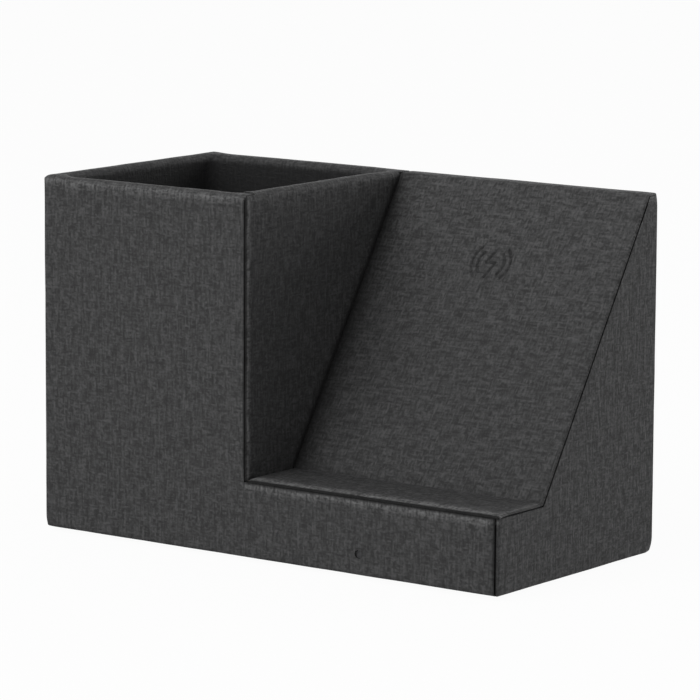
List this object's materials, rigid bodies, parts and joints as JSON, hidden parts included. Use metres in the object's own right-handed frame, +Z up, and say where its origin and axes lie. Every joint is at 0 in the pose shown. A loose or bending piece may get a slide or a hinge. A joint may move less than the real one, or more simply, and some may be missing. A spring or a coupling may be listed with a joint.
{
  "type": "charging station organizer",
  "caption": "Desk organizer: a leather-wrapped box with an open pen cup beside a sloped phone rest with a ledge, over a hidden wireless charging coil.",
  "frame": {"origin": "on the table under the middle of the body, at the bottom of the feet", "axes": "+X to the right as seen from the front, along the body's width; -Y towards the front, where the ledge is; +Z up"},
  "size_m": [0.1806, 0.0878, 0.1175],
  "materials": {
    "leather": "linen-grained dark grey leather, matte with a soft sheen",
    "cup_lining": "smooth dark grey lining, matte",
    "base_sheet": "close black felt-backed sheet, matte",
    "board": "pressed fibreboard, bare",
    "black_plastic": "moulded, fine matte texture",
    "white_plastic": "moulded, natural white",
    "clear_plastic": "clear moulded acrylic, polished front",
    "copper_wire": "enamelled copper",
    "ferrite": "sintered ferrite, satin",
    "steel": "plated steel, satin",
    "circuit_laminate": "glass laminate with a green solder mask",
    "rubber": "soft moulded rubber, matte"
  },
  "bodies": {
    "root": {"front_board": "board", "left_board": "board", "back_board": "board", "right_board": "board", "divider_board": "board", "base_board": "board", "ledge_board": "board", "rest_board": "board", "outer_cover": "leather", "divider_cover": "leather", "rest_cover": "leather", "cup_lining": "cup_lining", "cup_floor_pad": "cup_lining", "base_cover": "base_sheet", "coil_tray": "black_plastic", "charging_coil": "copper_wire", "ferrite_disc": "ferrite", "coil_plate": "white_plastic", "plate_screws": "steel", "circuit_board": "circuit_laminate", "circuit_posts": "white_plastic", "circuit_screws": "steel", "control_chip": "black_plastic", "power_inductor": "ferrite", "coil_socket": "white_plastic", "power_socket": "white_plastic", "coil_lead": "copper_wire", "power_lead": "black_plastic", "inlet_bezel": "black_plastic", "usb_shell": "steel", "usb_tongue": "black_plastic", "inlet_board": "circuit_laminate", "inlet_carrier": "white_plastic", "inlet_screws": "steel", "light_pipe": "clear_plastic", "indicator_led": "clear_plastic", "led_holder": "black_plastic", "led_lead": "black_plastic", "foot_1": "rubber", "foot_2": "rubber", "foot_3": "rubber", "foot_4": "rubber"}
  },
  "joints": []
}
